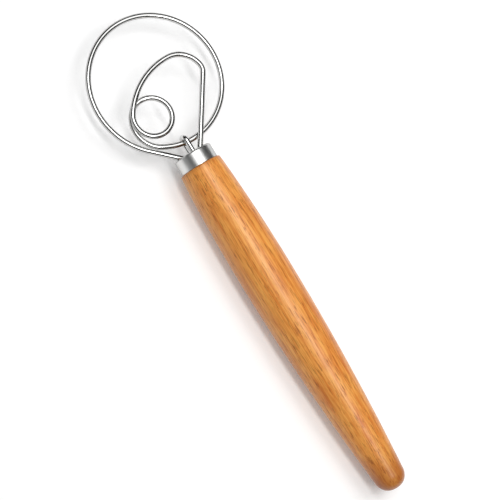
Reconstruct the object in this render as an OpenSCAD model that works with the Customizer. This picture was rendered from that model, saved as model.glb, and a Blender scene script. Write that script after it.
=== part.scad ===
// Dough whisk: a turned wooden handle, a steel ferrule and a flat head bent from one wire.
// Millimetres. The handle's axis is Y, and the origin is the centre of the ferrule's mouth.
// +Y points out along the head, +X to its right seen from above, and +Z is square to the head.

/* [Handle] */
// Length of the wood from the ferrule's lower edge to the tip
handle_len = 239.5; // [180:0.5:300]
// Radius of the wood at the shoulder, where it meets the ferrule
shoulder_r = 14.3; // [13.6:0.1:16]
// Largest radius of the handle
belly_r = 17.1; // [16.2:0.1:20]
// Distance of the widest place from the ferrule's lower edge
belly_at = 78; // [50:1:110]
// Radius of the handle where its rounded tip begins
tip_r = 10.3; // [8:0.1:13]
// Length of the rounded tip
tip_len = 10; // [7:0.5:13]
// Rounding of the shoulder's edge
shoulder_round = 1; // [0.4:0.1:1.6]

/* [Ferrule] */
// Outer radius of the ferrule
ferrule_r = 12.9; // [12:0.1:13.2]
// Length of the ferrule along the handle
ferrule_len = 10; // [8:0.5:16]
// Thickness of the ferrule's sheet
ferrule_wall = 0.8; // [0.5:0.1:1.2]
// Outer rounding of the ferrule's rim
rim_round = 1.5; // [1.2:0.1:1.8]
// Width of the flat lip inside the rounding
lip_w = 0.4; // [0.2:0.1:0.8]

/* [Wire] */
// Diameter of the wire
wire_d = 3.5; // [3:0.1:3.6]
// Radius of the bends in the ferrule's mouth, at the wire's centre
mouth_bend_r = 6; // [5:0.5:7]
// Depth that the wire ends reach into the handle
tail_len = 34; // [24:1:44]
// Distance of the front strands over the back ones
layer_step = 3.9; // [3.8:0.1:4.4]

/* [Outer loop] */
// Radius of the loop over its top and right side
loop_r = 43.6; // [42:0.1:46]
// Radius of the loop down its left side
loop_left_r = 46; // [45:0.1:48]
// Sideways place of the loop's centre
loop_x = 5; // [3:0.1:6]
// Distance from the ferrule's mouth to the loop's lowest point
loop_gap = 7.6; // [7:0.1:9]
// Direction from the centre to the place where the two radii meet
loop_join = 112.5; // [100:0.5:125]
// Direction from the centre to the place where the loop runs into the link
link_from = -119; // [-122:0.5:-112]

/* [Ring] */
// Radius of the small ring at the wire's centre
ring_r = 12.8; // [11.5:0.1:13.5]
// Sideways place of the ring's centre
ring_x = -11.3; // [-13:0.1:-10]
// Distance of the ring's centre from the ferrule's mouth
ring_y = 31.8; // [31:0.1:34]

/* [Egg] */
// Direction from the ring's centre to the place where the egg leaves it
egg_from = 145.5; // [140:0.5:150]
// Radius of the egg's long left side
egg_side_r = 49.3; // [44:0.1:54]
// Direction in which the side runs into the top
egg_top_from = 90.7; // [86:0.1:95]
// Radius of the egg's top
egg_top_r = 17; // [15:0.1:19]
// Direction in which the top runs into the corner
corner_from = 11.7; // [2:0.1:20]
// Radius of the corner over the straight leg
corner_r = 7.6; // [5:0.1:9]

/* [Keeper] */
// Room between the keeper and the wire that it holds
keeper_room = 0.2; // [0.1:0.05:0.4]
// Sideways place of the keeper
keeper_x = 0; // [-0.1:0.05:0.1]

/* [Fits] */
// Room between the ferrule and the spigot inside it
spigot_room = 0.05; // [0.02:0.01:0.15]
// Room between the ferrule's lower edge and the shoulder
shoulder_gap = 0.1; // [0.05:0.05:0.3]
// Room between the resin and what it bonds
bond_gap = 0.05; // [0.02:0.01:0.1]
// Depth of the wood's end below the ferrule's mouth
end_depth = 1.3; // [1:0.1:2]
// Depth of the resin's surface below the ferrule's mouth
resin_depth = 8.2; // [8:0.1:12]
// Wood left under the wire ends, at the bottom of the bore
bore_spare = 4; // [2:0.5:8]

/* [Hidden] */
$fn = 64;
belly_steps = 18;
tip_steps = 10;
round_steps = 4;
cut = 1;
wire_sides = 12;
bend_step = 6;
join_step = 2;
ring_steps = 24;

wire_r = wire_d / 2;
keeper_r = wire_d + keeper_room;

// The wire ends stand round the axis: one to each side and the keeper's two front and back
tail_gap = 0.15;
right_tail_x = keeper_x + wire_d + tail_gap;
left_tail_x = keeper_x - wire_d - tail_gap;
right_tail_top = -4.2;
left_tail_top = -6.4;

// Handle and bore
bore_room = 0.3;
spigot_end_w = 2;
funnel_depth = 6;
tip_power = 0.8;
shoulder_y = -ferrule_len - shoulder_gap;
belly_y = -ferrule_len - belly_at;
tip_y = -ferrule_len - handle_len;
dome_y = tip_y + tip_len;
spigot_r = ferrule_r - ferrule_wall - spigot_room;
bore_r = norm([right_tail_x, layer_step]) + wire_r + bond_gap + bore_room;
bore_floor = -tail_len - bore_spare;
funnel_r = spigot_r - spigot_end_w;

// Centres of the circles that the wire follows
loop_c = [loop_x, loop_gap + loop_r];
left_c = loop_c + (loop_r - loop_left_r) * toward(loop_join);
ring_c = [ring_x, ring_y];
link_spot = loop_c + loop_r * toward(link_from) - ring_c;
link_r = (link_spot * link_spot - ring_r * ring_r) / (2 * (link_spot * toward(link_from) - ring_r));
link_c = loop_c + (loop_r - link_r) * toward(link_from);
ring_from = bearing(link_c, ring_c);
side_c = ring_c + (ring_r - egg_side_r) * toward(egg_from);
top_c = side_c + (egg_side_r - egg_top_r) * toward(egg_top_from);
corner_c = top_c + (egg_top_r - corner_r) * toward(corner_from);
left_bend_c = [left_tail_x - mouth_bend_r, left_tail_top];
right_bend_c = [right_tail_x + mouth_bend_r, right_tail_top];

// Headings of the two straight runs, and the height at which the return passes the keeper
start_run = run_heading(left_bend_c, mouth_bend_r, left_c, -loop_left_r);
leg_run = run_heading(corner_c, -corner_r, right_bend_c, mouth_bend_r);
keeper_y = loop_c.y - sqrt(loop_r * loop_r - pow(loop_c.x - keeper_x, 2));

// Unit vector in a direction of the head's plane
function toward(a) = [cos(a), sin(a)];
// Direction from one point to another
function bearing(p, q) = atan2(q.y - p.y, q.x - p.x);
// Heading of the straight run between two bends, whose radii are positive where they turn left
function run_heading(c1, r1, c2, r2) = bearing(c1, c2) - asin((r2 - r1) / norm(c2 - c1));
// Radius of the handle at y: one long arc each side of the belly
function arc_drop(y, y1, r1) =
    let (span = abs(y1 - belly_y), drop = belly_r - r1, big = (span * span + drop * drop) / (2 * drop))
    big - sqrt(big * big - pow(y - belly_y, 2));
function handle_r(y) = belly_r - (y > belly_y ? arc_drop(y, shoulder_y, shoulder_r)
                                              : arc_drop(y, dome_y, tip_r));

// Turns a profile drawn as radius and height about the handle's axis
module turned() rotate([-90, 0, 0]) rotate_extrude() children();

// Stations along a bend, each its place and its heading. The radius is positive where it turns left
function bend(c, r, from, to, z = 0) =
    let (steps = max(2, ceil(abs(to - from) / bend_step)))
    [for (i = [0:steps]) let (h = from + (to - from) * i / steps, p = c - r * toward(h + 90)) [p.x, p.y, z, h]];

// A round wire through a list of stations, as one closed solid
module wire_through(stations) {
    last = len(stations) - 1;
    function around(s) = [for (k = [0:wire_sides - 1]) let (a = 360 * k / wire_sides, side = toward(s[3] + 90))
        [s[0] + wire_r * cos(a) * side.x, s[1] + wire_r * cos(a) * side.y, s[2] + wire_r * sin(a)]];
    function at(i, k) = i * wire_sides + k % wire_sides;
    polyhedron(
        points = [for (s = stations) each around(s)],
        faces = concat(
            [[for (k = [wire_sides - 1:-1:0]) at(0, k)], [for (k = [0:wire_sides - 1]) at(last, k)]],
            [for (i = [0:last - 1]) for (k = [0:wire_sides - 1]) each
                [[at(i, k), at(i, k + 1), at(i + 1, k + 1)], [at(i, k), at(i + 1, k + 1), at(i + 1, k)]]]
        )
    );
}

// The wood: its outside, its spigot and the bore for the wire ends
module handle() color("peru") difference() {
    turned() polygon(concat(
        [[0, -end_depth], [spigot_r, -end_depth], [spigot_r, shoulder_y]],
        [for (i = [0:round_steps]) let (a = 90 - 90 * i / round_steps)
            [shoulder_r - shoulder_round * (1 - cos(a)), shoulder_y - shoulder_round * (1 - sin(a))]],
        [for (i = [1:belly_steps]) let (y = shoulder_y + (dome_y - shoulder_y) * i / belly_steps)
            [handle_r(y), y]],
        [for (i = [1:tip_steps]) let (a = 90 * i / tip_steps)
            [tip_r * pow(cos(a), tip_power), dome_y - tip_len * sin(a)]]
    ));
    turned() polygon([[0, bore_floor], [bore_r, bore_floor], [bore_r, -end_depth - funnel_depth],
                      [funnel_r, -end_depth], [funnel_r, cut], [0, cut]]);
}

// The drawn steel band: outside, rounded rim and flat lip
module ferrule() color("silver") turned() difference() {
    rim_profile(ferrule_r, rim_round, 0);
    translate([0, -cut]) rim_profile(ferrule_r - ferrule_wall, rim_round - ferrule_wall,
                                     cut - ferrule_wall);
    translate([0, -2 * cut]) square([ferrule_r - rim_round - lip_w, 4 * cut]);
}

// Half section of a closed cap that ends at top, with a rounded edge
module rim_profile(r, round_r, top) union() {
    translate([0, -ferrule_len]) square([r, ferrule_len + top - round_r]);
    translate([0, -ferrule_len]) square([r - round_r, ferrule_len + top]);
    translate([r - round_r, top - round_r]) circle(r = round_r);
}

// The wire, from its left end in the handle round to its right one. It winds clockwise, so its
// headings only fall, and they run on past a whole turn
module whisk_wire() color("gainsboro") wire_through(concat(
    [[left_tail_x, -tail_len, 0, 90]],
    bend(left_bend_c, mouth_bend_r, 90, start_run),
    bend(left_c, -loop_left_r, start_run, loop_join - 90),
    bend(loop_c, -loop_r, loop_join - 90 - join_step, link_from - 90),
    bend(link_c, -link_r, link_from - 90 - join_step, ring_from - 450),
    ring_rise(),
    bend(ring_c, -ring_r, ring_from - 630 - join_step, egg_from - 810, layer_step),
    bend(side_c, -egg_side_r, egg_from - 810 - join_step, egg_top_from - 810, layer_step),
    bend(top_c, -egg_top_r, egg_top_from - 810 - join_step, corner_from - 810, layer_step),
    bend(corner_c, -corner_r, corner_from - 810 - join_step, leg_run - 720, layer_step),
    bend(right_bend_c, mouth_bend_r, leg_run - 720, -810, layer_step),
    [[right_tail_x, -tail_len, layer_step, -810]]
));

// The first half of the ring, which climbs from the back strands to the front ones
function ring_rise() = [for (i = [1:ring_steps]) let (a = 180 * i / ring_steps, d = toward(ring_from - a))
    [ring_c.x + ring_r * d.x, ring_c.y + ring_r * d.y, layer_step * (1 - cos(a)) / 2, ring_from - 450 - a]];

// The keeper: a U over the returning wire, with its legs in the handle
module keeper_loop() color("lightgray") translate([keeper_x, 0, 0]) rotate([0, -90, 0])
    wire_through(concat(
        [[keeper_r, -tail_len, 0, 90]],
        bend([0, keeper_y], keeper_r, 90, 270),
        [[-keeper_r, -tail_len, 0, 270]]
    ));

// The resin round the wire ends
module bonding_plug() color("burlywood") difference() {
    turned() polygon([[0, bore_floor + bond_gap], [bore_r - bond_gap, bore_floor + bond_gap],
                      [bore_r - bond_gap, -resin_depth], [0, -resin_depth]]);
    for (end = [[left_tail_x, 0], [right_tail_x, layer_step], [keeper_x, keeper_r], [keeper_x, -keeper_r]])
        translate([end.x, -tail_len - bond_gap, end.y]) rotate([-90, 0, 0])
            cylinder(r = wire_r + bond_gap, h = tail_len);
}

handle();
ferrule();
whisk_wire();
keeper_loop();
bonding_plug();
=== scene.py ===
"""Dough whisk: the visible pieces, their finishes and the stage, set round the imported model.

Lengths are metres and angles degrees unless a name says otherwise. Y is the handle's axis, the
origin is the centre of the ferrule's mouth, and +Z is square to the flat head.
"""

from math import asin, atan2, ceil, cos, degrees, pi, radians, sin, sqrt, tan, tau

import bmesh
import bpy
from bpy.props import FloatProperty, FloatVectorProperty, PointerProperty
from mathutils import Matrix, Vector


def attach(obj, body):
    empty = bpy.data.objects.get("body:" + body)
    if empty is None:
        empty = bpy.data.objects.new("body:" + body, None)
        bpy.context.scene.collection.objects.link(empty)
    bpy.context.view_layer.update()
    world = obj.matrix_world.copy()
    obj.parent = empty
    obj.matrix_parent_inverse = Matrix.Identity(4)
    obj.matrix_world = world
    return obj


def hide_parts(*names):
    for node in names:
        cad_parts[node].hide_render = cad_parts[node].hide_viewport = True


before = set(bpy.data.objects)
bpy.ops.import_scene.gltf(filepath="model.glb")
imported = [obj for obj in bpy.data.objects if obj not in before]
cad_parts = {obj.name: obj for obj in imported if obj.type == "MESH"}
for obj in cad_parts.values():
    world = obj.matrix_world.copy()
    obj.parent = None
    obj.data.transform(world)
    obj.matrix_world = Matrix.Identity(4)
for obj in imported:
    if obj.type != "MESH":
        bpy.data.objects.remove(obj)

bl_info = {
    "name": "Dough Whisk",
    "version": (1, 0, 0),
    "blender": (4, 5, 0),
    "location": "View3D > Sidebar > Whisk",
    "description": "Builds a dough whisk with its finishes, stage and camera",
    "category": "Object",
}

MM = 0.001
UP = Vector((0, 0, 1))
ALONG = Vector((0, 1, 0))
SEAM = 1e-7
SHARP_EDGE = radians(38)
TURN_STEPS = 96
WIRE_SIDES = 24
BEND_STEP = 3.0
FEWEST_STEPS = 3
QUARTER = 90
HALF_TURN = 180
TURN = 360
SHOULDER_STEPS = 6
BELLY_STEPS = 64
TIP_STEPS = 16
RIM_STEPS = 10
RIM_INNER_STEPS = 6
MISFIT = 5e-5
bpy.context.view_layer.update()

# The wire's bending schedule in millimetres and degrees, as in the part's source
MOUTH_BEND_R = 6.0
TAIL_LEN = 34.0
LAYER_STEP = 3.9
TAIL_GAP = 0.15
RIGHT_TAIL_TOP = -4.2
LEFT_TAIL_TOP = -6.4
LOOP_R = 43.6
LOOP_LEFT_R = 46.0
LOOP_X = 5.0
LOOP_GAP = 7.6
LOOP_JOIN = 112.5
LINK_FROM = -119.0
RING_R = 12.8
RING_X = -11.3
RING_Y = 31.8
EGG_FROM = 145.5
EGG_SIDE_R = 49.3
EGG_TOP_FROM = 90.7
EGG_TOP_R = 17.0
CORNER_FROM = 11.7
CORNER_R = 7.6
KEEPER_ROOM = 0.2

# The bore and the wood's end in the ferrule, in metres
END_DEPTH = 1.3 * MM
BORE_R = 7.44 * MM
BORE_FLOOR = 38 * MM
FUNNEL_DEPTH = 6 * MM
FUNNEL_EDGE = 2 * MM
SPIGOT_ROOM = 0.05 * MM
SHOULDER_GAP = 0.1 * MM
TIP_POWER = 0.8

# How much of its sheet the ferrule's small edges take
EDGE_SHARE = 0.3

# The wood's figure. A noise is its scale along the grain as a share of the one across, the scale
# across and its detail. An edge is the range over which a noise turns from none to full
PITH = (-0.016, 0.027)
RING_SPACING = 0.0046
RING_DRIFT = 0.007
RING_SLOPE = 0.018
DRIFT_NOISE = (0.12, 45, 3)
STREAK_NOISE = (0.020, 1350, 5)
STREAK_EDGE = (0.41, 0.60)
CLOUD_NOISE = (0.34, 70, 4)
CLOUD_EDGE = (0.38, 0.68)
PORE_NOISE = (0.055, 1900, 2)
PORE_EDGE = (0.56, 0.65)
PORES_IN_BANDS = 0.6
DASH_NOISE = (0.07, 1100, 1)
DASH_EDGE = (0.62, 0.70)

# How far each part of the figure darkens the wood, and where its two ends darken: the tip with
# its end grain and with painted shade, and the shoulder beside the ferrule
STREAK_SHADE = 0.54
BAND_SHADE = 0.24
CLOUD_SHADE = 0.36
PORE_SHADE = 0.80
DASH_SHADE = 0.45
# The tip's darkening is partly end grain and partly painted shade, where the rounded tip turns
# from the light
TIP_FADE = (0.212, 0.2495)
TIP_SHADE = 0.2
TIP_CLOUD_SHADE = 1.1
COLLAR_FADE = (0.0105, 0.0140)
COLLAR_SHADE = 0.35

# The lacquer, and the grain that shows through it as roughness and relief. A relief is a bump's
# strength and distance
LACQUER_ROUGHNESS = 0.28
STREAK_ROUGHNESS = 0.22
PORE_ROUGHNESS = 0.2
STREAK_HEIGHT = 0.5
PORE_DEPTH = 0.8
DASH_DEPTH = 0.6
GRAIN_RELIEF = (0.13, 0.0004)
LACQUER_SPECULAR = 0.3
LACQUER_COAT = 0.38
LACQUER_COAT_ROUGHNESS = 0.26

# The two steels: roughness, scale of the drawing marks along the handle's axis as a share of the
# one across, tint of the mirror at a grazing angle, and strength of the marks' relief. Above 1
# the marks run round the axis
FERRULE_STEEL = (0.29, 8.0, 0.6, 0.10)
WIRE_STEEL = (0.08, 1.0, 0.0, 0.05)

# Haze from handling, on both steels, and the drawing marks. A plain noise is its scale and detail
HAZE_NOISE = (160, 4)
HAZE_TONE_EDGE = (0.4, 0.75)
HAZE_TONE = 0.35
HANDLED_SHARE = 0.86
HAZE_ROUGH_EDGE = (0.35, 0.8)
HAZE_ROUGHNESS = 0.07
MARK_NOISE = (900, 3)
MARK_ROUGHNESS = 0.05
MARK_DISTANCE = 0.0001

# The resin's waves and the darker colour in them
WAVE_NOISE = (300, 3)
WAVE_EDGE = (0.3, 0.7)
DEEP_RESIN = (0.20, 0.11, 0.04)
RESIN_ROUGHNESS = 0.15
WAVE_ROUGHNESS = 0.2
WAVE_RELIEF = (0.4, 0.0008)

# Lights: angle from the camera towards the handle's right side, distance, width and length
SOFTBOX = (25, 1.35, 1.1, 1.7)
STRIP = (19, 1.3, 0.20, 1.4)
KEY = (49, 1.2, 0.62, 0.62)

# Cards round the table: name, side, angles between which it stands, distance, length and grey
CARDS = (
    ("card_right", "right", 48, 110, 1.5, 6, 0.04),
    ("card_over", "right", -37, -9, 1.2, 6, 0.03),
    ("card_left", "right", -69, -37, 1.4, 6, 0.26),
    ("card_near", "near", 23, 92, 1.6, 5, 0.01),
    ("card_far", "far", 40, 92, 1.6, 5, 0.01),
)
FLOOR_REACH = 4.0
FLOOR_ROUGHNESS = 0.9
FLOOR_GLOW = 0.20

# The camera looks square at the whisk as it lies rolled on its belly
ROLL = 21.0
VIEW_TURN = 31.43
VIEW_DISTANCE = 0.9
LOOK_Y = -0.07203
LOOK_ASIDE = (0.56 * MM, 0.34 * MM)
VIEW_WIDTH = 0.318
SENSOR = 36.0


class HandleSettings(bpy.types.PropertyGroup):
    """Sizes and colours of the turned handle."""

    length: FloatProperty(
        name="Length", description="Wood from the ferrule's lower edge to the tip",
        default=0.2395, min=0.18, max=0.3, subtype="DISTANCE", unit="LENGTH")
    shoulder_radius: FloatProperty(
        name="Shoulder radius", description="Radius where the wood meets the ferrule",
        default=0.0143, subtype="DISTANCE", unit="LENGTH")
    belly_radius: FloatProperty(
        name="Belly radius", description="Largest radius of the handle",
        default=0.0171, subtype="DISTANCE", unit="LENGTH")
    belly_distance: FloatProperty(
        name="Belly distance", description="From the ferrule's lower edge to the widest place",
        default=0.078, subtype="DISTANCE", unit="LENGTH")
    tip_radius: FloatProperty(
        name="Tip radius", description="Radius where the rounded tip begins",
        default=0.0103, subtype="DISTANCE", unit="LENGTH")
    tip_length: FloatProperty(
        name="Tip length", description="Length of the rounded tip",
        default=0.010, subtype="DISTANCE", unit="LENGTH")
    shoulder_round: FloatProperty(
        name="Shoulder rounding", description="Rounding of the shoulder's edge",
        default=0.001, subtype="DISTANCE", unit="LENGTH")
    light_wood: FloatVectorProperty(
        name="Light wood", description="Colour of the wood between its streaks",
        default=(0.95, 0.445, 0.098), size=3, min=0, max=1, subtype="COLOR")
    dark_wood: FloatVectorProperty(
        name="Dark wood", description="Colour of the darker streaks",
        default=(0.68, 0.200, 0.030), size=3, min=0, max=1, subtype="COLOR")
    pore_colour: FloatVectorProperty(
        name="Pores", description="Colour of the open pores",
        default=(0.30, 0.076, 0.010), size=3, min=0, max=1, subtype="COLOR")
    # The tip darkens to this colour partly for its end grain and partly as painted shade; the
    # shoulder beside the ferrule darkens to it too
    ends_and_painted_shade_colour: FloatVectorProperty(
        name="Ends and painted shade", description="Colour that the tip and the shoulder darken to",
        default=(0.36, 0.095, 0.014), size=3, min=0, max=1, subtype="COLOR")


class MetalSettings(bpy.types.PropertyGroup):
    """Sizes and colours of the ferrule and the wires."""

    wire_diameter: FloatProperty(
        name="Wire", description="Diameter of the wire",
        default=0.0035, subtype="DISTANCE", unit="LENGTH")
    ferrule_radius: FloatProperty(
        name="Ferrule radius", description="Outer radius of the ferrule",
        default=0.0129, subtype="DISTANCE", unit="LENGTH")
    ferrule_length: FloatProperty(
        name="Ferrule length", description="Length of the ferrule along the handle",
        default=0.010, subtype="DISTANCE", unit="LENGTH")
    sheet: FloatProperty(
        name="Sheet", description="Thickness of the ferrule's sheet",
        default=0.0008, subtype="DISTANCE", unit="LENGTH")
    rim_round: FloatProperty(
        name="Rim rounding", description="Outer rounding of the ferrule's rim",
        default=0.0015, subtype="DISTANCE", unit="LENGTH")
    lip: FloatProperty(
        name="Lip", description="Width of the flat lip inside the rounding",
        default=0.0004, subtype="DISTANCE", unit="LENGTH")
    steel_colour: FloatVectorProperty(
        name="Steel", description="Colour of the polished steel",
        default=(0.72, 0.72, 0.71), size=3, min=0, max=1, subtype="COLOR")
    wire_colour: FloatVectorProperty(
        name="Wire steel", description="Colour of the drawn wire",
        default=(0.64, 0.64, 0.63), size=3, min=0, max=1, subtype="COLOR")
    resin_colour: FloatVectorProperty(
        name="Resin", description="Colour of the resin round the wire ends",
        default=(0.42, 0.27, 0.10), size=3, min=0, max=1, subtype="COLOR")


class StageSettings(bpy.types.PropertyGroup):
    """Floor and light."""

    floor_colour: FloatVectorProperty(
        name="Floor", description="Colour of the floor",
        default=(0.90, 0.90, 0.90), size=3, min=0, max=1, subtype="COLOR")
    softbox_power: FloatProperty(
        name="Softbox", description="Power of the large light over the whisk",
        default=5.6, min=0, unit="POWER")
    key_power: FloatProperty(
        name="Key", description="Power of the smaller light that draws the shadow",
        default=4.6, min=0, unit="POWER")
    strip_power: FloatProperty(
        name="Strip", description="Power of the narrow light that draws the streak on the wood",
        default=6.4, min=0, unit="POWER")
    sky: FloatProperty(
        name="Sky", description="Brightness of the even light from all round",
        default=0.20, min=0, max=1)


class Tap:
    """One output in a node tree. Arithmetic on it adds Math nodes."""

    def __init__(self, tree, output):
        self.tree = tree
        self.output = output

    def node(self, kind, inputs=(), settings=(), output=0):
        """Adds any other node, fills its inputs and settings, and taps one output."""
        made = self.tree.nodes.new(kind)
        for name, value in dict(settings).items():
            setattr(made, name, value)
        for name, value in dict(inputs).items():
            self.feed(made.inputs[name], value)
        return Tap(self.tree, made.outputs[output])

    def feed(self, socket, value):
        """Links a tap to a socket, or sets the socket to a plain value."""
        if isinstance(value, Tap):
            self.tree.links.new(value.output, socket)
        else:
            socket.default_value = value

    def maths(self, operation, first, second=0.0):
        return self.node("ShaderNodeMath", {0: first, 1: second}, {"operation": operation})

    def __add__(self, other):
        return self.maths("ADD", self, other)

    def __radd__(self, other):
        return self.maths("ADD", other, self)

    def __sub__(self, other):
        return self.maths("SUBTRACT", self, other)

    def __rsub__(self, other):
        return self.maths("SUBTRACT", other, self)

    def __mul__(self, other):
        return self.maths("MULTIPLY", self, other)

    def __rmul__(self, other):
        return self.maths("MULTIPLY", other, self)

    def __pow__(self, other):
        return self.maths("POWER", self, other)


def start_finish(name):
    """A new material: the material, its shader and its Object coordinates."""
    made = bpy.data.materials.new(name)
    made.use_nodes = True
    tree = made.node_tree
    place = Tap(tree, tree.nodes.new("ShaderNodeTexCoord").outputs["Object"])
    return made, tree.nodes["Principled BSDF"], place


def noise(place, scale, detail):
    return place.node("ShaderNodeTexNoise", {"Vector": place, "Scale": scale, "Detail": detail})


def stretched_noise(place, stretch, scale, detail):
    """Noise with a scale of its own along the handle's axis."""
    drawn = place.node("ShaderNodeMapping", {"Vector": place, "Scale": (1, stretch, 1)})
    return noise(drawn, scale, detail)


def ramp(value, low, high):
    """Rises smoothly from 0 to 1 while the value goes from low to high."""
    return value.node("ShaderNodeMapRange", {0: value, 1: low, 2: high},
                      {"interpolation_type": "SMOOTHSTEP"})


def blend_colours(share, first, second):
    return share.node("ShaderNodeMix", {0: share, 6: first, 7: second},
                      {"data_type": "RGBA"}, output=2)


def opaque(colour):
    return (*colour, 1.0)


def add_relief(shader, height, strength, distance):
    bump = height.node("ShaderNodeBump",
                       {"Height": height, "Strength": strength, "Distance": distance})
    height.feed(shader.inputs["Normal"], bump)


def wood_finish(look):
    """Lacquered ring-porous wood: growth bands, streaks, short dark pores and a clear coat."""
    made, shader, place = start_finish("lacquered_wood")
    x = place.node("ShaderNodeSeparateXYZ", {0: place})
    y = Tap(x.tree, x.output.node.outputs[1])
    z = Tap(x.tree, x.output.node.outputs[2])
    drift = stretched_noise(place, *DRIFT_NOISE)
    across, down = x - PITH[0], z - PITH[1]
    reach = (across * across + down * down) ** 0.5 + drift * RING_DRIFT + y * RING_SLOPE
    phase = reach * (tau / RING_SPACING)
    bands = phase.maths("SINE", phase) * 0.5 + 0.5
    streaks = stretched_noise(place, *STREAK_NOISE)
    cloud = stretched_noise(place, *CLOUD_NOISE)
    pores = ramp(stretched_noise(place, *PORE_NOISE), *PORE_EDGE)
    pores = pores * (bands * PORES_IN_BANDS + (1 - PORES_IN_BANDS))
    dashes = ramp(stretched_noise(place, *DASH_NOISE), *DASH_EDGE)
    shade = ramp(streaks, *STREAK_EDGE) * STREAK_SHADE + bands * BAND_SHADE
    shade = shade + ramp(cloud, *CLOUD_EDGE) * CLOUD_SHADE
    wood = blend_colours(shade, opaque(look.light_wood), opaque(look.dark_wood))
    wood = blend_colours(pores * PORE_SHADE, wood, opaque(look.pore_colour))
    wood = blend_colours(dashes * DASH_SHADE, wood, opaque(look.pore_colour))
    depth = y * -1.0
    # Painted shade together with end grain darkens the tip; the shoulder beside the ferrule
    # darkens as well
    tip = ramp(depth, *TIP_FADE) * (cloud * TIP_CLOUD_SHADE + TIP_SHADE)
    collar = (1.0 - ramp(depth, *COLLAR_FADE)) * COLLAR_SHADE
    wood = blend_colours(tip + collar, wood, opaque(look.ends_and_painted_shade_colour))
    place.feed(shader.inputs["Base Color"], wood)
    roughness = streaks * STREAK_ROUGHNESS + pores * PORE_ROUGHNESS + LACQUER_ROUGHNESS
    place.feed(shader.inputs["Roughness"], roughness)
    height = streaks * STREAK_HEIGHT - pores * PORE_DEPTH - dashes * DASH_DEPTH
    add_relief(shader, height, *GRAIN_RELIEF)
    shader.inputs["Specular IOR Level"].default_value = LACQUER_SPECULAR
    shader.inputs["Coat Weight"].default_value = LACQUER_COAT
    shader.inputs["Coat Roughness"].default_value = LACQUER_COAT_ROUGHNESS
    return made


def steel_finish(name, colour, roughness, stretch, edge, strength):
    """Polished steel with faint drawing marks and handling haze."""
    made, shader, place = start_finish(name)
    haze = noise(place, *HAZE_NOISE)
    marks = stretched_noise(place, stretch, *MARK_NOISE)
    handled = [part * HANDLED_SHARE for part in colour]
    dulled = blend_colours(ramp(haze, *HAZE_TONE_EDGE) * HAZE_TONE, opaque(colour),
                           opaque(handled))
    place.feed(shader.inputs["Base Color"], dulled)
    haze_roughness = ramp(haze, *HAZE_ROUGH_EDGE) * HAZE_ROUGHNESS
    place.feed(shader.inputs["Roughness"], haze_roughness + marks * MARK_ROUGHNESS + roughness)
    add_relief(shader, marks, strength, MARK_DISTANCE)
    shader.inputs["Metallic"].default_value = 1.0
    shader.inputs["Specular Tint"].default_value = (edge, edge, edge, 1)
    return made


def resin_finish(look):
    """Cured amber resin with a slightly wavy surface."""
    made, shader, place = start_finish("resin")
    waves = noise(place, *WAVE_NOISE)
    amber = blend_colours(ramp(waves, *WAVE_EDGE), opaque(look.resin_colour), opaque(DEEP_RESIN))
    place.feed(shader.inputs["Base Color"], amber)
    place.feed(shader.inputs["Roughness"], waves * WAVE_ROUGHNESS + RESIN_ROUGHNESS)
    add_relief(shader, waves, *WAVE_RELIEF)
    return made


def keep_piece(context, bm, name, node, finish):
    """Makes a piece of a finished bmesh, in the place of one CAD node."""
    bmesh.ops.remove_doubles(bm, verts=bm.verts, dist=SEAM)
    bmesh.ops.recalc_face_normals(bm, faces=bm.faces)
    mesh = bpy.data.meshes.new(name)
    bm.to_mesh(mesh)
    bm.free()
    mesh.shade_smooth()
    mesh.set_sharp_from_angle(angle=SHARP_EDGE)
    mesh.materials.append(finish)
    piece = bpy.data.objects.new(name, mesh)
    context.scene.collection.objects.link(piece)
    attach(piece, "root")
    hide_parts(node)
    return piece


def turn_profile(points, closed):
    """Turns an outline of radius and height about the handle's axis."""
    bm = bmesh.new()
    spots = [bm.verts.new((radius, height, 0)) for radius, height in points]
    for first, second in zip(spots, spots[1:]):
        bm.edges.new((first, second))
    if closed:
        bm.edges.new((spots[-1], spots[0]))
    bmesh.ops.spin(bm, geom=bm.verts[:] + bm.edges[:], cent=(0, 0, 0), axis=ALONG, angle=tau,
                   steps=TURN_STEPS, use_merge=True)
    return bm


def arc(centre, radius, start, end, steps):
    """Points of an arc in an outline, from one direction to another."""
    turns = [radians(start + (end - start) * i / steps) for i in range(steps + 1)]
    return [(centre[0] + radius * cos(a), centre[1] + radius * sin(a)) for a in turns]


def toward(direction):
    """Unit vector in a direction of the head's plane."""
    return Vector((cos(radians(direction)), sin(radians(direction)), 0))


def bearing(first, second):
    return degrees(atan2(second.y - first.y, second.x - first.x))


def run_heading(first, first_r, second, second_r):
    """Heading of the straight run between two bends, positive where they turn left."""
    return bearing(first, second) - degrees(asin((second_r - first_r) / (second - first).length))


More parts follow.
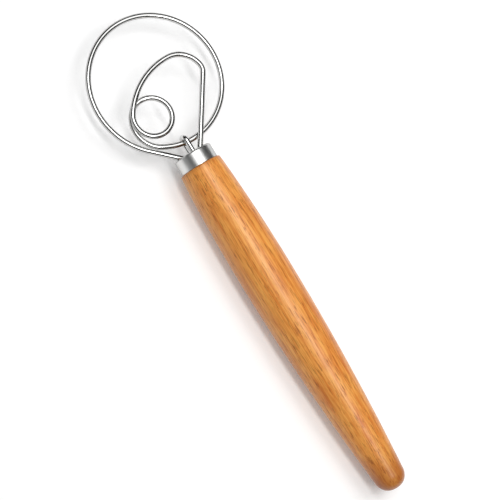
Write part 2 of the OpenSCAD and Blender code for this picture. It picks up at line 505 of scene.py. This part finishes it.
class WireBender:
    """Bends one round wire from its end, a straight or a bend at a time. Millimetres."""

    def __init__(self, start, heading, radius):
        self.bm = bmesh.new()
        end = bmesh.ops.create_circle(self.bm, segments=WIRE_SIDES, radius=radius)["verts"]
        turn = UP.rotation_difference(heading).to_matrix()
        bmesh.ops.rotate(self.bm, cent=(0, 0, 0), matrix=turn, verts=end)
        bmesh.ops.translate(self.bm, vec=start * MM, verts=end)
        self.rim = self.bm.edges[:]

    def draw_out(self):
        """Extrudes the rim and returns its new vertices."""
        made = bmesh.ops.extrude_edge_only(self.bm, edges=self.rim)["geom"]
        fresh = {part for part in made if isinstance(part, bmesh.types.BMVert)}
        self.rim = [part for part in made if isinstance(part, bmesh.types.BMEdge)
                    and part.verts[0] in fresh and part.verts[1] in fresh]
        return list(fresh)

    def spot(self):
        """Centre of the rim."""
        ends = {v for edge in self.rim for v in edge.verts}
        return sum((v.co for v in ends), Vector()) / len(ends)

    def straight(self, end):
        step = end * MM - self.spot()
        if step.length > MISFIT:
            bmesh.ops.translate(self.bm, vec=step, verts=self.draw_out())

    def swing(self, centre, axis, angle):
        """Turns the rim about an axis, drawing the wire out behind it."""
        steps = max(FEWEST_STEPS, ceil(abs(angle) / BEND_STEP))
        turn = Matrix.Rotation(radians(angle) / steps, 3, axis)
        for _ in range(steps):
            bmesh.ops.rotate(self.bm, cent=centre * MM, matrix=turn, verts=self.draw_out())

    def bend(self, centre, radius, before, after):
        """Runs straight up to a bend in the head's plane and follows it."""
        self.straight(centre - toward(before + QUARTER) * radius)
        self.swing(centre, UP, after - before)

    def finish(self, end):
        """Runs straight to the wire's other end and closes both ends."""
        self.straight(end)
        if (self.spot() - end * MM).length > MISFIT:
            raise RuntimeError("The wire's end isn't where the bending schedule puts it")
        bmesh.ops.holes_fill(self.bm, edges=self.bm.edges, sides=0)
        return self.bm


def bent_wire(radius):
    """The whisk's wire: outer loop, link, ring, egg and leg.

    It winds clockwise seen from above, so its headings only fall, and they run on past a turn.
    """
    loop = Vector((LOOP_X, LOOP_GAP + LOOP_R, 0))
    left = loop + toward(LOOP_JOIN) * (LOOP_R - LOOP_LEFT_R)
    ring = Vector((RING_X, RING_Y, 0))
    spot = loop + toward(LINK_FROM) * LOOP_R - ring
    link_r = (spot.dot(spot) - RING_R ** 2) / (2 * (spot.dot(toward(LINK_FROM)) - RING_R))
    link = loop + toward(LINK_FROM) * (LOOP_R - link_r)
    ring_from = bearing(link, ring)
    lift = UP * LAYER_STEP
    front_ring = ring + lift
    side = front_ring + toward(EGG_FROM) * (RING_R - EGG_SIDE_R)
    top = side + toward(EGG_TOP_FROM) * (EGG_SIDE_R - EGG_TOP_R)
    corner = top + toward(CORNER_FROM) * (EGG_TOP_R - CORNER_R)
    tail_x = radius / MM * 2 + TAIL_GAP
    left_bend = Vector((-tail_x - MOUTH_BEND_R, LEFT_TAIL_TOP, 0))
    right_bend = Vector((tail_x + MOUTH_BEND_R, RIGHT_TAIL_TOP, LAYER_STEP))
    start_run = run_heading(left_bend, MOUTH_BEND_R, left, -LOOP_LEFT_R)
    leg_run = run_heading(corner, -CORNER_R, right_bend, MOUTH_BEND_R)
    once, twice = QUARTER + TURN, QUARTER + 2 * TURN
    wire = WireBender(Vector((-tail_x, -TAIL_LEN, 0)), ALONG, radius)
    wire.bend(left_bend, MOUTH_BEND_R, QUARTER, start_run)
    wire.bend(left, -LOOP_LEFT_R, start_run, LOOP_JOIN - QUARTER)
    wire.bend(loop, -LOOP_R, LOOP_JOIN - QUARTER, LINK_FROM - QUARTER)
    wire.bend(link, -link_r, LINK_FROM - QUARTER, ring_from - once)
    climb = toward(ring_from) * (LAYER_STEP / 2) + UP * RING_R
    wire.swing(ring + lift / 2, climb, -HALF_TURN)
    wire.bend(front_ring, -RING_R, ring_from - (once + HALF_TURN), EGG_FROM - twice)
    wire.bend(side, -EGG_SIDE_R, EGG_FROM - twice, EGG_TOP_FROM - twice)
    wire.bend(top, -EGG_TOP_R, EGG_TOP_FROM - twice, CORNER_FROM - twice)
    wire.bend(corner, -CORNER_R, CORNER_FROM - twice, leg_run - 2 * TURN)
    wire.bend(right_bend, MOUTH_BEND_R, leg_run - 2 * TURN, -twice)
    return wire.finish(Vector((tail_x, -TAIL_LEN, LAYER_STEP)))


class WHISK_OT_turn_handle(bpy.types.Operator):
    """Turn the wooden handle with its shoulder, spigot, bore and rounded tip"""

    bl_idname = "whisk.turn_handle"
    bl_label = "Turn Handle"

    def execute(self, context):
        look, metal = context.scene.whisk_handle, context.scene.whisk_metal
        shoulder = -metal.ferrule_length - SHOULDER_GAP
        belly = -metal.ferrule_length - look.belly_distance
        dome = -metal.ferrule_length - look.length + look.tip_length
        spigot_r = metal.ferrule_radius - metal.sheet - SPIGOT_ROOM

        def drop(height, end, end_r):
            span, fall = abs(end - belly), look.belly_radius - end_r
            big = (span * span + fall * fall) / (2 * fall)
            return big - sqrt(big * big - (height - belly) ** 2)

        def radius_at(height):
            end = (shoulder, look.shoulder_radius) if height > belly else (dome, look.tip_radius)
            return look.belly_radius - drop(height, *end)

        rounding = look.shoulder_round
        outline = [(0, -BORE_FLOOR), (BORE_R, -BORE_FLOOR), (BORE_R, -END_DEPTH - FUNNEL_DEPTH),
                   (spigot_r - FUNNEL_EDGE, -END_DEPTH), (spigot_r, -END_DEPTH),
                   (spigot_r, shoulder)]
        outline += arc((look.shoulder_radius - rounding, shoulder - rounding), rounding,
                       QUARTER, 0, SHOULDER_STEPS)
        for i in range(1, BELLY_STEPS + 1):
            height = shoulder - rounding + (dome - shoulder + rounding) * i / BELLY_STEPS
            outline.append((radius_at(height), height))
        for i in range(1, TIP_STEPS):
            a = pi / 2 * i / TIP_STEPS
            outline.append((look.tip_radius * cos(a) ** TIP_POWER,
                            dome - look.tip_length * sin(a)))
        outline.append((0, dome - look.tip_length))
        keep_piece(context, turn_profile(outline, closed=False), "turned_handle", "handle",
                   wood_finish(look))
        return {"FINISHED"}


class WHISK_OT_press_ferrule(bpy.types.Operator):
    """Make the drawn steel ferrule with its rounded rim and lip"""

    bl_idname = "whisk.press_ferrule"
    bl_label = "Press Ferrule"

    def execute(self, context):
        metal = context.scene.whisk_metal
        outer, inner = metal.ferrule_radius, metal.ferrule_radius - metal.sheet
        rim, low = metal.rim_round, -metal.ferrule_length
        mouth = outer - rim - metal.lip
        edge = metal.sheet * EDGE_SHARE
        outline = [(inner, low), (outer - edge, low), (outer, low + edge)]
        outline += arc((outer - rim, -rim), rim, 0, QUARTER, RIM_STEPS)
        outline += [(mouth + edge / 2, 0), (mouth, -edge / 2), (mouth, -metal.sheet)]
        outline += arc((outer - rim, -rim), rim - metal.sheet, QUARTER, 0, RIM_INNER_STEPS)
        finish = steel_finish("polished_ferrule", metal.steel_colour, *FERRULE_STEEL)
        keep_piece(context, turn_profile(outline, closed=True), "pressed_ferrule", "ferrule",
                   finish)
        return {"FINISHED"}


class WHISK_OT_bend_wire(bpy.types.Operator):
    """Bend the one wire of the head from its bending schedule"""

    bl_idname = "whisk.bend_wire"
    bl_label = "Bend Wire"

    def execute(self, context):
        metal = context.scene.whisk_metal
        finish = steel_finish("polished_wire", metal.wire_colour, *WIRE_STEEL)
        keep_piece(context, bent_wire(metal.wire_diameter / 2), "bent_wire", "whisk_wire",
                   finish)
        return {"FINISHED"}


class WHISK_OT_bend_keeper(bpy.types.Operator):
    """Bend the small keeper over the wire that comes back to the ferrule"""

    bl_idname = "whisk.bend_keeper"
    bl_label = "Bend Keeper"

    def execute(self, context):
        metal = context.scene.whisk_metal
        reach = metal.wire_diameter / MM + KEEPER_ROOM
        crown = LOOP_GAP + LOOP_R - sqrt(LOOP_R ** 2 - LOOP_X ** 2)
        wire = WireBender(Vector((0, -TAIL_LEN, reach)), ALONG, metal.wire_diameter / 2)
        wire.straight(Vector((0, crown, reach)))
        wire.swing(Vector((0, crown, 0)), Vector((1, 0, 0)), -HALF_TURN)
        keep_piece(context, wire.finish(Vector((0, -TAIL_LEN, -reach))), "bent_keeper",
                   "keeper_loop", bpy.data.materials["polished_wire"])
        return {"FINISHED"}


class WHISK_OT_finish_resin(bpy.types.Operator):
    """Give the resin in the bore its finish"""

    bl_idname = "whisk.finish_resin"
    bl_label = "Finish Resin"

    def execute(self, context):
        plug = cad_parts["bonding_plug"]
        finish = resin_finish(context.scene.whisk_metal)
        if not plug.material_slots:
            plug.data.materials.append(finish)
        for slot in plug.material_slots:
            slot.material = finish
        return {"FINISHED"}


def view_axes():
    """Right, up and back of the camera, and the direction square to the handle in its view."""
    across = Vector((cos(radians(ROLL)), 0, sin(radians(ROLL))))
    back = Vector((-sin(radians(ROLL)), 0, cos(radians(ROLL))))
    right = across * cos(radians(VIEW_TURN)) - ALONG * sin(radians(VIEW_TURN))
    above = across * sin(radians(VIEW_TURN)) + ALONG * cos(radians(VIEW_TURN))
    return right, above, back, across


def facing(spot, side, out):
    """Places a thing at a spot with its own X along side and its own Z along out."""
    turn = Matrix((side, out.cross(side), out)).transposed().to_4x4()
    return Matrix.Translation(spot) @ turn


def hung(side, angle, distance, middle):
    """Places a thing at an angle from the camera towards one side, facing the middle."""
    back = view_axes()[2]
    out = back * cos(radians(angle)) + side * sin(radians(angle))
    across = side * cos(radians(angle)) - back * sin(radians(angle))
    return facing(middle + out * distance, across, out)


def add_light(context, name, side, angle, distance, width, length, power):
    """An area light that hangs at an angle from the camera and faces the whisk."""
    data = bpy.data.lights.new(name, "AREA")
    data.shape = "RECTANGLE"
    data.size, data.size_y = width, length
    data.energy = power
    lamp = bpy.data.objects.new(name, data)
    lamp.matrix_world = hung(side, angle, distance, Vector((0, LOOK_Y, 0)))
    context.scene.collection.objects.link(lamp)
    return lamp


def add_card(context, name, side, low, high, distance, length, grey):
    """A card that only the metal and lacquer mirror, as the cards round a product table do."""
    bm = bmesh.new()
    half = distance * tan(radians((high - low) / 2))
    made = bmesh.ops.create_grid(bm, x_segments=1, y_segments=1, size=1)["verts"]
    bmesh.ops.scale(bm, vec=(half, length / 2, 1), verts=made)
    bmesh.ops.transform(bm, matrix=hung(side, (low + high) / 2, distance, Vector()), verts=made)
    mesh = bpy.data.meshes.new(name)
    bm.to_mesh(mesh)
    bm.free()
    paint, shader, _ = start_finish(name)
    shader.inputs["Base Color"].default_value = (0, 0, 0, 1)
    shader.inputs["Specular IOR Level"].default_value = 0.0
    shader.inputs["Emission Color"].default_value = (grey, grey, grey, 1)
    shader.inputs["Emission Strength"].default_value = 1.0
    mesh.materials.append(paint)
    card = bpy.data.objects.new(name, mesh)
    card.visible_camera = card.visible_diffuse = card.visible_shadow = False
    card.visible_transmission = False
    context.scene.collection.objects.link(card)


def seen_directly(tree):
    """1 for what the camera, the metal and glass see, and 0 for light that falls on things."""
    path = tree.nodes.new("ShaderNodeLightPath").outputs
    seen = Tap(tree, path["Is Camera Ray"])
    for ray in ("Is Glossy Ray", "Is Transmission Ray"):
        seen = seen.maths("MAXIMUM", seen, Tap(tree, path[ray]))
    return seen


class WHISK_OT_set_stage(bpy.types.Operator):
    """Lay the floor and set the light, the cards and the camera"""

    bl_idname = "whisk.set_stage"
    bl_label = "Set Stage"

    def execute(self, context):
        scene, look = context.scene, context.scene.whisk_stage
        right, above, back, across = view_axes()
        bm = bmesh.new()
        made = bmesh.ops.create_grid(bm, x_segments=1, y_segments=1, size=FLOOR_REACH)["verts"]
        floor_z = -scene.whisk_handle.belly_radius
        bmesh.ops.translate(bm, vec=(0, LOOK_Y, floor_z), verts=made)
        mesh = bpy.data.meshes.new("floor")
        bm.to_mesh(mesh)
        bm.free()
        paint, shader, place = start_finish("floor")
        shader.inputs["Base Color"].default_value = opaque(look.floor_colour)
        shader.inputs["Roughness"].default_value = FLOOR_ROUGHNESS
        shader.inputs["Specular IOR Level"].default_value = 0.0
        seen = seen_directly(paint.node_tree)
        place.feed(shader.inputs["Emission Color"], seen)
        shader.inputs["Emission Strength"].default_value = FLOOR_GLOW
        mesh.materials.append(paint)
        floor = bpy.data.objects.new("floor", mesh)
        scene.collection.objects.link(floor)

        add_light(context, "softbox", across, *SOFTBOX, look.softbox_power)
        add_light(context, "strip", across, *STRIP, look.strip_power)
        key = add_light(context, "key", across, *KEY, look.key_power)
        key.visible_glossy = False
        sides = {"right": across, "near": ALONG * -1, "far": ALONG}
        for name, side, *place_and_grey in CARDS:
            add_card(context, name, sides[side], *place_and_grey)

        world = bpy.data.worlds.new("sky")
        world.use_nodes = True
        scene.world = world
        tree = world.node_tree
        seen = seen_directly(tree)
        level = seen * (1.0 - look.sky) + look.sky
        sky = tree.nodes["Background"]
        seen.feed(sky.inputs["Color"], level)
        sky.inputs["Strength"].default_value = 1.0

        data = bpy.data.cameras.new("camera")
        data.sensor_width = SENSOR
        data.lens = SENSOR * VIEW_DISTANCE / VIEW_WIDTH
        data.dof.use_dof = False
        camera = bpy.data.objects.new("camera", data)
        spot = Vector((0, LOOK_Y, 0)) + back * VIEW_DISTANCE
        spot -= right * LOOK_ASIDE[0] + above * LOOK_ASIDE[1]
        camera.matrix_world = facing(spot, right, back)
        scene.collection.objects.link(camera)
        scene.camera = camera
        scene.view_settings.view_transform = "Standard"
        return {"FINISHED"}


class WHISK_PT_pieces(bpy.types.Panel):
    """The whisk's pieces in the sidebar"""

    bl_label = "Dough Whisk"
    bl_idname = "WHISK_PT_pieces"
    bl_space_type = "VIEW_3D"
    bl_region_type = "UI"
    bl_category = "Whisk"

    def draw(self, context):
        for settings in (context.scene.whisk_handle, context.scene.whisk_metal,
                         context.scene.whisk_stage):
            for name in settings.__annotations__:
                self.layout.prop(settings, name)
        for operator in OPERATORS:
            self.layout.operator(operator.bl_idname)


SETTINGS = (HandleSettings, MetalSettings, StageSettings)
OPERATORS = (WHISK_OT_turn_handle, WHISK_OT_press_ferrule, WHISK_OT_bend_wire,
             WHISK_OT_bend_keeper, WHISK_OT_finish_resin, WHISK_OT_set_stage)


def register():
    for part in (*SETTINGS, *OPERATORS, WHISK_PT_pieces):
        bpy.utils.register_class(part)
    bpy.types.Scene.whisk_handle = PointerProperty(type=HandleSettings)
    bpy.types.Scene.whisk_metal = PointerProperty(type=MetalSettings)
    bpy.types.Scene.whisk_stage = PointerProperty(type=StageSettings)


def unregister():
    del bpy.types.Scene.whisk_stage
    del bpy.types.Scene.whisk_metal
    del bpy.types.Scene.whisk_handle
    for part in reversed((*SETTINGS, *OPERATORS, WHISK_PT_pieces)):
        bpy.utils.unregister_class(part)


def build_whisk():
    """Registers the add-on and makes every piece."""
    register()
    bpy.ops.whisk.turn_handle()
    bpy.ops.whisk.press_ferrule()
    bpy.ops.whisk.bend_wire()
    bpy.ops.whisk.bend_keeper()
    bpy.ops.whisk.finish_resin()
    bpy.ops.whisk.set_stage()


if __name__ == "__main__":
    build_whisk()
